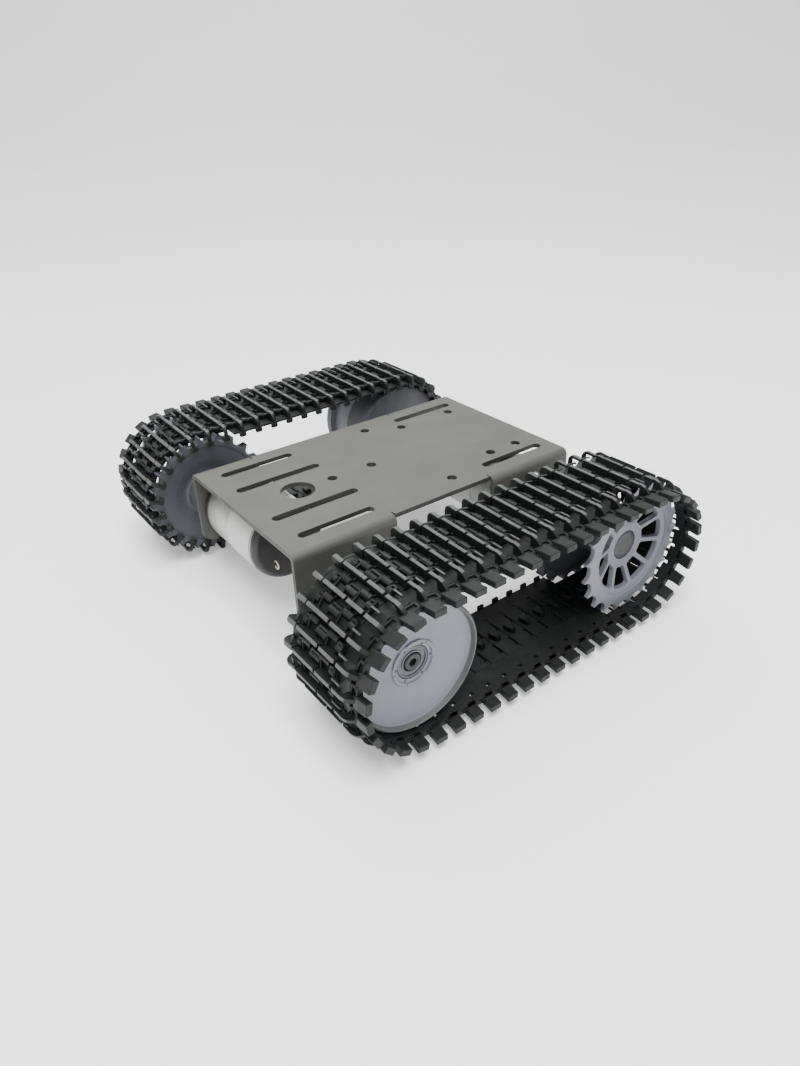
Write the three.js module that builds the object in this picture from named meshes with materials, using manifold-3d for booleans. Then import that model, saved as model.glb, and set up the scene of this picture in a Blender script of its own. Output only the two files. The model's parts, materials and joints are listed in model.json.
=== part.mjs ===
// Tracked tank chassis: a folded sheet-metal deck, two gear motors at opposite
// corners, two sprockets, two idlers and two looped tracks.
// Millimetres. +Z up, +X along the tracks, +Y to the left. Z = 0 is the ground.
import * as THREE from "three";
import { mergeVertices } from "three/addons/utils/BufferGeometryUtils.js";
import Module from "manifold-3d";

const wasm = await Module();
wasm.setup();

// ---------------------------------------------------------------- driving dimensions
const GAP = 0.05; // clearance between two pieces that touch on the real object
const FIT = 0.08; // radial running clearance
const DEG = Math.PI / 180;
const LARGE = 24; // facets round a large turned piece
const MEDIUM = 16;
const SMALL = 12;

const AXLE_X = 55.8; // both wheels' distance from the middle, along the tracks
const AXLE_Z = 31; // axle height above the ground

const DECK = { length: 140.2, width: 82.4, top: 53.1, thick: 2 };
const FLANGE = { face: 43.2, drop: 34, bendRadius: 3, cornerRadius: 5 };
const MOTOR_FLANGES = [
  { side: 1, from: -70.1, to: -43.2 },
  { side: -1, from: 25.8, to: 70.1 },
];
const IDLER_FLANGES = [
  { side: 1, from: 32.6, to: 70.1 },
  { side: -1, from: -70.1, to: -24.1 },
];
const SLOT_WIDTH = 3.8;
const SLOTS = [
  { y: 31.9, from: -61.2, to: -27.2 },
  { y: 14.9, from: -62.6, to: -23.4 },
  { y: 31.8, from: 30.2, to: 64 },
];
const WIRE_HOLE = { x: -42.5, y: 0, radius: 7.1 };
const DECK_HOLE_RADIUS = 2.1;
const DECK_HOLES = [
  [-25.8, 0],
  [-5.8, 0],
  [12.8, 31.8],
  [12.8, -31.8],
  [28.6, 24.1],
  [57.4, 24.2],
  [41.9, -23.7],
  [56.9, -23.7],
];

// Stations along the axle, measured outwards from the deck's centre line.
const FLANGE_INNER = FLANGE.face - DECK.thick;
const SPROCKET = {
  teeth: 21,
  tipRadius: 28.4,
  rootRadius: 25.4,
  toothPhase: 6.8 * DEG,
  innerFace: 61.2,
  outerFace: 94,
  ringWidth: 4.3,
  windows: 10,
  windowPhase: 8 * DEG,
  windowInner: 10.3,
  windowOuter: 18.6,
  webEdge: 19.5,
  webThick: 3,
  spokeWidth: 2.6,
  hubRadius: 9,
  hubFace: 89.8,
  hubBack: 83,
  capRadius: 6,
  capThick: 1.2,
  bossRadius: 12.5,
  bossEnd: 49,
};
const IDLER = {
  radius: 24.8,
  drumRadius: 22.5,
  inner: 62.2,
  outer: 97.9,
  rimWidth: 6,
  cupRadius: 23.6,
  webFace: 93.3,
  webThick: 3,
  hubRadius: 9,
  seatRadius: 6.5,
  boreRadius: 4.2,
  bearingWidth: 5,
  recess: 2.3,
  wall: 2.5,
  seam: 80.3,
  screws: 6,
  screwCircle: 7.3,
};
const AXLE_BOLT = { radius: 2, tip: 36.5, headRadius: 3.4, headHeight: 2.2, socket: 1.5 };
const LOCK_NUT = { acrossFlats: 7, tip: 37.6 };
const SPACER_RADIUS = 4;

// The loop has as many links as close it exactly round two 21-tooth circles.
const LINKS = 48;
const LINK_PITCH = (4 * AXLE_X) / (LINKS - SPROCKET.teeth);
const TRACK = {
  inner: 59,
  outer: 106,
  insideRadius: 25.4,
  channelRadius: 29.45,
  skinRadius: 30.15,
  barRadius: AXLE_Z,
  barWidth: 3.2,
  channelSide: 0.5,
};

const MOTOR = {
  offset: [4.5, 2], // can's axis from the output shaft's axis
  radius: 16.5,
  wall: 1.2,
  faceThick: 2.6,
  gearboxEnd: 19.5,
  canEnd: -1,
  capEnd: -3.3,
  labelThick: 0.25,
  labelTurn: 300 * DEG,
  shaftRadius: 1,
};
const OUTPUT = { radius: 3, from: 27.6, end: 60.9, flat: 2.5, flatFrom: 45.5, bushRadius: 5.95 };
const GEAR = { module: 0.4, small: 10, large: 30, backlash: 0.14, layStud: 0.75 };
const COUPLING = { acrossFlats: 12, from: 46, end: 66.5, boreEnd: 62, screwHole: 1.6 };
const GRUB = { radius: 1.5, length: 3.2, at: 47.9, socket: 0.8, socketDepth: 1.2 };
const TERMINAL = { across: 7.4, up: 7.1, width: 2.8, thick: 0.5, reach: 4, sink: 1.5, eye: 0.7 };
const WHEEL_SCREW = { radius: 1.5, hole: 1.8, headRadius: 3.2, headHeight: 1.9, seat: 85.6, tip: 62.4 };
const MOUNT_SCREW = { radius: 1.4, headRadius: 2.75, headHeight: 2, circle: 12.5 };
const MOUNT_SCREW_ANGLES = { a: 155 * DEG, b: 85 * DEG };

// ---------------------------------------------------------------- solids
function toSolid(geometry) {
  const bare = geometry.clone();
  bare.deleteAttribute("normal");
  bare.deleteAttribute("uv");
  const merged = mergeVertices(bare, 1e-4);
  const solid = new wasm.Manifold(
    new wasm.Mesh({
      numProp: 3,
      vertProperties: new Float32Array(merged.attributes.position.array),
      triVerts: new Uint32Array(merged.index.array),
    }),
  );
  return solid;
}

function toGeometry(solid) {
  const mesh = solid.getMesh();
  const geometry = new THREE.BufferGeometry();
  const positions = new Float32Array(mesh.numVert * 3);
  for (let i = 0; i < mesh.numVert; i++) {
    positions.set(mesh.vertProperties.subarray(i * mesh.numProp, i * mesh.numProp + 3), i * 3);
  }
  geometry.setAttribute("position", new THREE.BufferAttribute(positions, 3));
  geometry.setIndex(new THREE.BufferAttribute(mesh.triVerts, 1));
  return geometry;
}

// A closed outline of [x, z] points, extruded along Y from y0 to y1.
function prismY(points, y0, y1) {
  const shape = new THREE.Shape(points.map(([x, z]) => new THREE.Vector2(x, z)));
  const geometry = new THREE.ExtrudeGeometry(shape, { depth: y1 - y0, bevelEnabled: false });
  geometry.rotateX(Math.PI / 2);
  geometry.translate(0, y1, 0);
  return toSolid(geometry);
}

// A closed outline of [x, y] points, extruded along Z from z0 to z1.
function prismZ(points, z0, z1) {
  const shape = new THREE.Shape(points.map(([x, y]) => new THREE.Vector2(x, y)));
  const geometry = new THREE.ExtrudeGeometry(shape, { depth: z1 - z0, bevelEnabled: false });
  geometry.translate(0, 0, z0);
  return toSolid(geometry);
}

// A ring of [radius, y] points, turned about the Y axis through (x, z). The
// points run anticlockwise, so that the faces point outwards.
function turned(profile, segments, x = 0, z = 0) {
  const points = profile.map(([r, y]) => new THREE.Vector2(r, y));
  if (profile.every(([r]) => r > 0)) points.push(points[0].clone());
  const geometry = new THREE.LatheGeometry(points, segments);
  geometry.translate(x, 0, z);
  return toSolid(geometry);
}

function disc(radius, y0, y1, segments, x = 0, z = 0) {
  return turned([[0, y0], [radius, y0], [radius, y1], [0, y1]], segments, x, z);
}

function tube(inner, outer, y0, y1, segments, x = 0, z = 0) {
  return turned([[inner, y0], [outer, y0], [outer, y1], [inner, y1]], segments, x, z);
}

function box(x0, x1, y0, y1, z0, z1) {
  const geometry = new THREE.BoxGeometry(x1 - x0, y1 - y0, z1 - z0);
  geometry.translate((x0 + x1) / 2, (y0 + y1) / 2, (z0 + z1) / 2);
  return toSolid(geometry);
}

// A round bar along X, centred on (x, y, z).
function crossPin(radius, length, x, y, z, segments) {
  const bar = new THREE.CylinderGeometry(radius, radius, length, segments);
  return toSolid(bar.rotateZ(90 * DEG).translate(x, y, z));
}

function unite(solids) {
  return solids.reduce((sum, solid) => sum.add(solid));
}

function cut(solid, tools) {
  return tools.reduce((rest, tool) => rest.subtract(tool), solid);
}

// ---------------------------------------------------------------- outlines
function arc(cx, cy, radius, from, to, steps) {
  const points = [];
  for (let i = 0; i <= steps; i++) {
    const a = from + ((to - from) * i) / steps;
    points.push([cx + radius * Math.cos(a), cy + radius * Math.sin(a)]);
  }
  return points;
}

function circle(radius, steps, cx = 0, cy = 0) {
  return arc(cx, cy, radius, 0, 2 * Math.PI * (1 - 1 / steps), steps - 1);
}

function slotOutline(from, to, y, width) {
  const r = width / 2;
  return [
    ...arc(to - r, y, r, -90 * DEG, 90 * DEG, 4),
    ...arc(from + r, y, r, 90 * DEG, 270 * DEG, 4),
  ];
}

function polygon(sides, radius, turn = 0) {
  return arc(0, 0, radius, turn, turn + 2 * Math.PI * (1 - 1 / sides), sides - 1);
}

// One tooth after another: root, flank, tip, flank.
function toothedOutline({ teeth, root, tip, rootWidth, tipWidth, phase, cx = 0, cy = 0 }) {
  const points = [];
  for (let i = 0; i < teeth; i++) {
    const middle = phase + (i * 2 * Math.PI) / teeth;
    const corners = [
      [root, -rootWidth / 2],
      [tip, -tipWidth / 2],
      [tip, tipWidth / 2],
      [root, rootWidth / 2],
    ];
    for (const [r, along] of corners) {
      const a = middle + along / r;
      points.push([cx + r * Math.cos(a), cy + r * Math.sin(a)]);
    }
  }
  return points;
}

// The racetrack that a radius about both axles makes.
function racetrack(radius, steps) {
  return [
    ...arc(AXLE_X, 0, radius, -90 * DEG, 90 * DEG, steps),
    ...arc(-AXLE_X, 0, radius, 90 * DEG, 270 * DEG, steps),
  ];
}

// ---------------------------------------------------------------- deck
function flangeSolid({ side, from, to }) {
  const top = DECK.top;
  const under = top - DECK.thick;
  const bend = FLANGE.bendRadius;
  const inner = bend - DECK.thick;
  const centre = FLANGE.face - bend;
  const bottom = top - FLANGE.drop;
  const root = centre - 2;
  const section = [
    [root, under],
    ...arc(centre, top - bend, inner, 90 * DEG, 0, 3),
    [FLANGE_INNER, bottom],
    [FLANGE.face, bottom],
    ...arc(centre, top - bend, bend, 0, 90 * DEG, 5),
    [root, top],
  ];
  const shape = new THREE.Shape(section.map(([y, z]) => new THREE.Vector2(y, z)));
  const geometry = new THREE.ExtrudeGeometry(shape, { depth: to - from, bevelEnabled: false });
  geometry.applyMatrix4(
    new THREE.Matrix4().makeBasis(
      new THREE.Vector3(0, 1, 0),
      new THREE.Vector3(0, 0, 1),
      new THREE.Vector3(1, 0, 0),
    ),
  );
  geometry.translate(from, 0, 0);
  if (side < 0) {
    geometry.rotateZ(Math.PI);
    geometry.translate(from + to, 0, 0);
  }
  const r = FLANGE.cornerRadius;
  const outline = [
    [to, top + 1],
    [from, top + 1],
    ...arc(from + r, bottom + r, r, 180 * DEG, 270 * DEG, 3),
    ...arc(to - r, bottom + r, r, 270 * DEG, 360 * DEG, 3),
  ];
  const envelope = prismY(outline, -FLANGE.face - 1, FLANGE.face + 1);
  return toSolid(geometry).intersect(envelope);
}

function flangeHole(side, x, z, radius) {
  const y0 = side > 0 ? FLANGE_INNER - 1 : -FLANGE.face - 1;
  return disc(radius, y0, y0 + DECK.thick + 2, MEDIUM, x, z);
}

function motorFlangeHoles({ side }) {
  const x = -side * AXLE_X;
  const [mx, mz] = MOTOR.offset;
  const holes = [flangeHole(side, x, AXLE_Z, OUTPUT.bushRadius + 0.3)];
  for (const angle of Object.values(MOUNT_SCREW_ANGLES)) {
    const sx = mx + MOUNT_SCREW.circle * Math.cos(angle);
    const sz = mz + MOUNT_SCREW.circle * Math.sin(angle);
    holes.push(flangeHole(side, x + side * sx, AXLE_Z + sz, MOUNT_SCREW.radius + 0.2));
  }
  return holes;
}

function deckSolid() {
  const { length, width, top, thick } = DECK;
  const slab = box(-length / 2, length / 2, -width / 2, width / 2, top - thick, top);
  const flanges = [...MOTOR_FLANGES, ...IDLER_FLANGES].map(flangeSolid);
  const through = [top - thick - 1, top + 1];
  const cuts = [];
  for (const { y, from, to } of SLOTS) {
    cuts.push(prismZ(slotOutline(from, to, y, SLOT_WIDTH), ...through));
    cuts.push(prismZ(slotOutline(from, to, -y, SLOT_WIDTH), ...through));
  }
  cuts.push(prismZ(circle(WIRE_HOLE.radius, 24, WIRE_HOLE.x, WIRE_HOLE.y), ...through));
  for (const [x, hy] of DECK_HOLES) {
    cuts.push(prismZ(circle(DECK_HOLE_RADIUS, 10, x, hy), ...through));
  }
  for (const flange of MOTOR_FLANGES) cuts.push(...motorFlangeHoles(flange));
  for (const { side } of IDLER_FLANGES) {
    cuts.push(flangeHole(side, side * AXLE_X, AXLE_Z, AXLE_BOLT.radius + 0.15));
  }
  return cut(unite([slab, ...flanges]), cuts);
}

// ---------------------------------------------------------------- track
// Points along the loop: place (0 to LINKS) to a position and its outward turn.
function alongLoop(place, radius) {
  const run = 2 * AXLE_X;
  const pitchRadius = (SPROCKET.teeth * LINK_PITCH) / (2 * Math.PI);
  const half = Math.PI * pitchRadius;
  let s = (((place % LINKS) + LINKS) % LINKS) * LINK_PITCH;
  if (s < half) {
    const a = 90 * DEG + s / pitchRadius;
    return [-AXLE_X + radius * Math.cos(a), radius * Math.sin(a)];
  }
  s -= half;
  if (s < run) return [-AXLE_X + s, -radius];
  s -= run;
  if (s < half) {
    const a = -90 * DEG + s / pitchRadius;
    return [AXLE_X + radius * Math.cos(a), radius * Math.sin(a)];
  }
  return [AXLE_X - (s - half), radius];
}

function trackSolid() {
  // Bars stand midway between the sprocket's teeth.
  const toothStep = (2 * Math.PI) / SPROCKET.teeth;
  const fromTop = SPROCKET.toothPhase + toothStep / 2 - 90 * DEG;
  const firstBar = fromTop / toothStep;
  const halfBar = TRACK.barWidth / 2 / LINK_PITCH;
  const outside = [];
  for (let i = 0; i < LINKS; i++) {
    const middle = firstBar + i;
    outside.push(alongLoop(middle - halfBar - 0.05, TRACK.skinRadius));
    outside.push(alongLoop(middle - halfBar, TRACK.barRadius));
    outside.push(alongLoop(middle + halfBar, TRACK.barRadius));
    outside.push(alongLoop(middle + halfBar + 0.05, TRACK.skinRadius));
  }
  const steps = 18;
  const band = prismY(outside, TRACK.inner, TRACK.outer);
  const hollow = prismY(racetrack(TRACK.insideRadius, steps), TRACK.inner - 1, TRACK.outer + 1);
  const side = TRACK.channelSide;
  const channel = racetrack(TRACK.channelRadius, steps);
  const near = SPROCKET.innerFace - side;
  const far = SPROCKET.outerFace + side;
  const width = SPROCKET.ringWidth + 2 * side;
  return cut(band, [
    hollow,
    prismY(channel, near, near + width),
    prismY(channel, far - width, far),
  ]);
}

// ---------------------------------------------------------------- sprocket
function sprocketRing(y0, y1) {
  const outline = toothedOutline({
    teeth: SPROCKET.teeth,
    root: SPROCKET.rootRadius,
    tip: SPROCKET.tipRadius,
    rootWidth: 4.6,
    tipWidth: 1.6,
    phase: SPROCKET.toothPhase,
  });
  return prismY(outline, y0, y1);
}

function sprocketWindow(index, y0, y1) {
  const middle = SPROCKET.windowPhase + ((index + 0.5) * 2 * Math.PI) / SPROCKET.windows;
  const step = Math.PI / SPROCKET.windows;
  const spoke = SPROCKET.spokeWidth / 2;
  const halfIn = step - Math.asin(spoke / SPROCKET.windowInner);
  const halfOut = step - Math.asin(spoke / SPROCKET.windowOuter);
  return prismY(
    [
      ...arc(0, 0, SPROCKET.windowOuter, middle - halfOut, middle + halfOut, 2),
      ...arc(0, 0, SPROCKET.windowInner, middle + halfIn, middle - halfIn, 1),
    ],
    y0,
    y1,
  );
}

// A toothed ring, a spoked cone that falls back to the hub, and the hub.
function sprocketOuterSolid() {
  const { outerFace, ringWidth, webEdge, webThick, hubFace, hubBack, hubRadius, capThick } = SPROCKET;
  const back = outerFace - ringWidth;
  const beyond = outerFace + 1;
  const ring = sprocketRing(back, outerFace).subtract(disc(webEdge, back - 1, beyond, LARGE));
  const cone = turned(
    [
      [hubRadius - 1, hubFace - webThick],
      [webEdge + 0.6, back],
      [webEdge + 0.6, back + webThick],
      [hubRadius, hubFace],
      [hubRadius - 1, hubFace],
    ],
    LARGE,
  );
  const hub = disc(hubRadius, hubBack, hubFace, LARGE);
  const cuts = [];
  for (let i = 0; i < SPROCKET.windows; i++) cuts.push(sprocketWindow(i, hubBack, beyond));
  cuts.push(disc(SPROCKET.capRadius + 0.2, hubFace - capThick - GAP, beyond, MEDIUM));
  cuts.push(disc(WHEEL_SCREW.headRadius + 0.2, WHEEL_SCREW.seat, beyond, SMALL));
  cuts.push(disc(WHEEL_SCREW.hole, hubBack - 1, beyond, SMALL));
  return cut(unite([ring, cone, hub]), cuts);
}

function sprocketInnerSolid() {
  const face = SPROCKET.innerFace;
  const back = face + SPROCKET.ringWidth;
  const boss = turned(
    [
      [0, SPROCKET.bossEnd],
      [SPROCKET.bossRadius, SPROCKET.bossEnd],
      [SPROCKET.bossRadius + 0.6, face - 2],
      [15.5, face + 1],
      [15.5, back - 0.5],
      [SPROCKET.hubRadius, back],
      [SPROCKET.hubRadius, SPROCKET.hubBack - GAP],
      [0, SPROCKET.hubBack - GAP],
    ],
    LARGE,
  );
  const dish = tube(17.5, 23.5, face - 1, face + 1.6, LARGE);
  const bore = prismY(polygon(6, (12.1 + 2 * FIT) / Math.sqrt(3)), SPROCKET.bossEnd - 1, 67);
  return cut(unite([sprocketRing(face, back), boss]), [
    dish,
    bore,
    disc(WHEEL_SCREW.hole, 60, SPROCKET.hubBack + 1, SMALL),
  ]);
}

function couplingSolid() {
  const { acrossFlats, from, end, boreEnd, screwHole } = COUPLING;
  const half = acrossFlats / 2;
  const hex = prismY(polygon(6, acrossFlats / Math.sqrt(3)), from, end);
  const flatCut = box(OUTPUT.flat + FIT, half, from - 1, end, -half, half);
  const bore = disc(OUTPUT.radius + FIT, from - 1, boreEnd, MEDIUM).subtract(flatCut);
  const grub = crossPin(GRUB.radius + 0.1, acrossFlats * 0.66, half, GRUB.at, 0, 12);
  return cut(hex, [bore, disc(screwHole, boreEnd - 1, end + 1, SMALL), grub]);
}

function setScrewSolid() {
  const { radius, length, at, socket, socketDepth } = GRUB;
  const start = OUTPUT.flat + 0.15;
  const body = crossPin(radius, length, start + length / 2, at, 0, 12);
  return body.subtract(crossPin(socket, 2 * socketDepth, start + length, at, 0, 6));
}

function wheelScrewSolid() {
  const { radius, headRadius, headHeight, seat, tip } = WHEEL_SCREW;
  const shank = disc(radius, tip, seat + 1, SMALL);
  const head = disc(headRadius, seat + GAP, seat + GAP + headHeight, SMALL);
  return unite([shank, head]);
}

function hubCapSolid() {
  const { capRadius, capThick, hubFace } = SPROCKET;
  return disc(capRadius, hubFace - capThick, hubFace, MEDIUM);
}

// ---------------------------------------------------------------- idler
function idlerOuterSolid() {
  const { radius, outer, rimWidth, cupRadius, webFace, drumRadius, hubRadius, seam } = IDLER;
  const webBack = webFace - IDLER.webThick;
  const wallInside = drumRadius - IDLER.wall;
  const seatEnd = webFace - IDLER.recess - IDLER.bearingWidth;
  const body = turned(
    [
      [IDLER.boreRadius, seam],
      [hubRadius, seam],
      [hubRadius, webBack],
      [wallInside, webBack],
      [wallInside, seam],
      [drumRadius, seam],
      [drumRadius, outer - rimWidth],
      [radius, outer - rimWidth + 1],
      [radius, outer],
      [cupRadius, outer],
      [cupRadius - 0.6, webFace],
      [IDLER.seatRadius, webFace],
      [IDLER.seatRadius, seatEnd],
      [IDLER.boreRadius, seatEnd],
    ],
    LARGE,
  );
  const holes = [];
  for (let i = 0; i < IDLER.screws; i++) {
    const a = (i * 2 * Math.PI) / IDLER.screws;
    const x = IDLER.screwCircle * Math.cos(a);
    const z = IDLER.screwCircle * Math.sin(a);
    holes.push(disc(0.5, webFace - 1.5, webFace + 1, 6, x, z));
  }
  return cut(body, holes);
}

function idlerInnerSolid() {
  const { radius, inner, rimWidth, drumRadius, hubRadius, wall } = IDLER;
  const seam = IDLER.seam - GAP;
  const face = inner + 1;
  const webBack = face + IDLER.webThick;
  const seatEnd = face + IDLER.bearingWidth;
  return turned(
    [
      [IDLER.seatRadius, face],
      [IDLER.cupRadius - 0.6, face],
      [IDLER.cupRadius, inner],
      [radius, inner],
      [radius, inner + rimWidth - 1],
      [drumRadius, inner + rimWidth],
      [drumRadius, seam],
      [drumRadius - wall, seam],
      [drumRadius - wall, webBack],
      [hubRadius, webBack],
      [hubRadius, seam],
      [IDLER.boreRadius, seam],
      [IDLER.boreRadius, seatEnd],
      [IDLER.seatRadius, seatEnd],
    ],
    LARGE,
  );
}

function bearingSolid(y0) {
  const outer = IDLER.seatRadius - 2 * GAP;
  return tube(AXLE_BOLT.radius + FIT, outer, y0, y0 + IDLER.bearingWidth - GAP, MEDIUM);
}

function axleBoltSolid(headSeat) {
  const top = headSeat + AXLE_BOLT.headHeight;
  const shank = disc(AXLE_BOLT.radius, AXLE_BOLT.tip, headSeat + 1, SMALL);
  const head = disc(AXLE_BOLT.headRadius, headSeat, top, MEDIUM);
  const socket = prismY(polygon(6, AXLE_BOLT.socket), headSeat + 0.8, top + 1);
  return unite([shank, head]).subtract(socket);
}

function spacerSolid(end) {
  return tube(AXLE_BOLT.radius + GAP, SPACER_RADIUS, FLANGE.face + GAP, end, MEDIUM);
}

function lockNutSolid() {
  const { acrossFlats, tip } = LOCK_NUT;
  const hex = prismY(polygon(6, acrossFlats / Math.sqrt(3), 30 * DEG), tip, FLANGE_INNER - GAP);
  return hex.subtract(disc(AXLE_BOLT.radius + FIT, tip - 1, FLANGE_INNER, SMALL));
}

// ---------------------------------------------------------------- gear motor
function motorFaceSolid() {
  const [mx, mz] = MOTOR.offset;
  const y1 = FLANGE_INNER - GAP;
  const plate = disc(MOTOR.radius, y1 - MOTOR.faceThick, y1, LARGE, mx, mz);
  const cuts = [disc(OUTPUT.bushRadius + GAP, y1 - 9, y1 + 9, MEDIUM)];
  for (const angle of Object.values(MOUNT_SCREW_ANGLES)) {
    const x = mx + MOUNT_SCREW.circle * Math.cos(angle);
    const z = mz + MOUNT_SCREW.circle * Math.sin(angle);
    cuts.push(disc(MOUNT_SCREW.radius + GAP, y1 - 9, y1 + 9, SMALL, x, z));
  }
  return cut(plate, cuts);
}

function gearboxShellSolid() {
  const [mx, mz] = MOTOR.offset;
  const y1 = FLANGE_INNER - MOTOR.faceThick - 2 * GAP;
  const y0 = MOTOR.gearboxEnd;
  const inside = MOTOR.radius - MOTOR.wall;
  const floor = y0 + 1.5;
  const cup = turned(
    [[3.4, y0], [MOTOR.radius, y0], [MOTOR.radius, y1], [inside, y1], [inside, floor], [3.4, floor]],
    LARGE,
    mx,
    mz,
  );
  const [ix, iz] = layAxis();
  return cup.add(disc(GEAR.layStud, floor - 0.5, y1 - 1.5, 12, ix, iz));
}

function motorCanSolid() {
  const [mx, mz] = MOTOR.offset;
  const y1 = MOTOR.gearboxEnd - GAP;
  const inside = MOTOR.radius - MOTOR.wall;
  const bore = MOTOR.shaftRadius + FIT;
  return turned(
    [
      [inside, MOTOR.canEnd],
      [MOTOR.radius, MOTOR.canEnd],
      [MOTOR.radius, y1],
      [3.2, y1],
      [3.2, y1 + 1.4],
      [bore, y1 + 1.4],
      [bore, y1 - 1.5],
      [inside, y1 - 1.5],
    ],
    LARGE,
    mx,
    mz,
  );
}

function motorLabelSolid() {
  const [mx, mz] = MOTOR.offset;
  const inner = (MOTOR.radius + GAP) / Math.cos(MOTOR.labelTurn / LARGE / 2);
  const outer = inner + MOTOR.labelThick;
  const from = 90 * DEG + (2 * Math.PI - MOTOR.labelTurn) / 2;
  const to = from + MOTOR.labelTurn;
  const outline = [...arc(mx, mz, outer, from, to, LARGE), ...arc(mx, mz, inner, to, from, LARGE)];
  return prismY(outline, -0.4, MOTOR.gearboxEnd - 0.6);
}

function terminalSolid(sign) {
  const [mx, mz] = MOTOR.offset;
  const x = mx - sign * TERMINAL.across;
  const z = mz - sign * TERMINAL.up;
  const y0 = MOTOR.capEnd - TERMINAL.reach;
  const half = TERMINAL.width / 2;
  const blade = box(
    x - TERMINAL.thick / 2,
    x + TERMINAL.thick / 2,
    y0,
    MOTOR.capEnd + TERMINAL.sink,
    z - half,
    z + half,
  );
  return blade.subtract(crossPin(TERMINAL.eye, 3, x, y0 + 1.5, z, 12));
}

function motorEndCapSolid() {
  const [mx, mz] = MOTOR.offset;
  const bore = MOTOR.shaftRadius + FIT;
  const inside = MOTOR.radius - MOTOR.wall - 0.05;
  const y1 = MOTOR.canEnd - GAP;
  const plate = turned(
    [
      [bore, MOTOR.capEnd - 0.9],
      [3, MOTOR.capEnd - 0.9],
      [3, MOTOR.capEnd],
      [MOTOR.radius - 0.7, MOTOR.capEnd],
      [MOTOR.radius, MOTOR.capEnd + 0.7],
      [MOTOR.radius, y1],
      [inside, y1],
      [inside, y1 + 1.2],
      [bore, y1 + 1.2],
    ],
    LARGE,
    mx,
    mz,
  );
  const slots = [1, -1].map((sign) => {
    const x = mx - sign * TERMINAL.across;
    const z = mz - sign * TERMINAL.up;
    const t = TERMINAL.thick / 2 + GAP;
    const h = TERMINAL.width / 2 + GAP;
    return box(x - t, x + t, MOTOR.capEnd - 1, MOTOR.canEnd + 3, z - h, z + h);
  });
  return cut(plate, slots);
}

function armatureSolid() {
  const [mx, mz] = MOTOR.offset;
  const shaft = disc(MOTOR.shaftRadius, MOTOR.capEnd - 0.5, 27, SMALL, mx, mz);
  const commutator = disc(3, 0.6, 3.4, 12, mx, mz);
  const core = toothedOutline({
    teeth: 3,
    root: 6,
    tip: 12.6,
    rootWidth: 6,
    tipWidth: 20,
    phase: 90 * DEG,
    cx: mx,
    cy: mz,
  });
  return unite([shaft, commutator, prismY(core, 4, 15)]);
}

function layAxis() {
  const [mx, mz] = MOTOR.offset;
  const centres = (GEAR.module * (GEAR.small + GEAR.large)) / 2;
  const apart = Math.hypot(mx, mz);
  const h = Math.sqrt(centres * centres - (apart * apart) / 4);
  return [mx / 2 + (h * mz) / apart, mz / 2 - (h * mx) / apart];
}

function gearOutline(teeth, phase, cx, cy) {
  const pitch = (GEAR.module * teeth) / 2;
  const thick = (Math.PI * GEAR.module) / 2 - GEAR.backlash;
  return toothedOutline({
    teeth,
    root: pitch - 1.1 * GEAR.module,
    tip: pitch + 0.75 * GEAR.module,
    rootWidth: thick * 1.25,
    tipWidth: thick * 0.45,
    phase,
    cx,
    cy,
  });
}

function pinionSolid() {
  const [mx, mz] = MOTOR.offset;
  const [ix, iz] = layAxis();
  const phase = Math.atan2(iz - mz, ix - mx);
  const gear = prismY(gearOutline(GEAR.small, phase, mx, mz), 22.6, 26.2);
  return gear.subtract(disc(MOTOR.shaftRadius + GAP, 20, 30, SMALL, mx, mz));
}

function layGearSolid() {
  const [mx, mz] = MOTOR.offset;
  const [ix, iz] = layAxis();
  const gapPhase = Math.PI / GEAR.large;
  const towardMotor = Math.atan2(mz - iz, mx - ix);
  const towardOutput = Math.atan2(-iz, -ix);
  const large = prismY(gearOutline(GEAR.large, towardMotor + gapPhase, ix, iz), 22.4, 26.4);
  const small = prismY(gearOutline(GEAR.small, towardOutput, ix, iz), 26, 33);
  return unite([large, small]).subtract(disc(GEAR.layStud + FIT, 20, 40, 12, ix, iz));
}

function outputGearSolid() {
  const [ix, iz] = layAxis();
  const phase = Math.atan2(iz, ix) + Math.PI / GEAR.large;
  const gear = prismY(gearOutline(GEAR.large, phase, 0, 0), 28, 32.4);
  return gear.subtract(disc(OUTPUT.radius + GAP, 20, 40, MEDIUM));
}

function outputShaftSolid() {
  const { radius, from, end, flat, flatFrom } = OUTPUT;
  const shaft = disc(radius, from, end, MEDIUM);
  return shaft.subtract(box(flat, radius + 1, flatFrom, end + 1, -radius, radius));
}

function bushSolid() {
  const inner = OUTPUT.radius + FIT;
  const y0 = FLANGE_INNER - GAP - MOTOR.faceThick - 1.4;
  return tube(inner, OUTPUT.bushRadius, y0, FLANGE.face + 1, MEDIUM);
}

function mountScrewSolid(angle) {
  const [mx, mz] = MOTOR.offset;
  const x = mx + MOUNT_SCREW.circle * Math.cos(angle);
  const z = mz + MOUNT_SCREW.circle * Math.sin(angle);
  const seat = FLANGE.face + GAP;
  const shank = disc(MOUNT_SCREW.radius, FLANGE_INNER - 2.4, seat + 0.5, SMALL, x, z);
  const { headRadius, headHeight } = MOUNT_SCREW;
  const head = turned(
    [[0, seat], [headRadius, seat], [headRadius * 0.82, seat + headHeight], [0, seat + headHeight]],
    SMALL,
    x,
    z,
  );
  const socket = toSolid(
    new THREE.CylinderGeometry(1.1, 1.1, 2, 6).translate(x, seat + headHeight, z),
  );
  return unite([shank, head]).subtract(socket);
}

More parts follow.
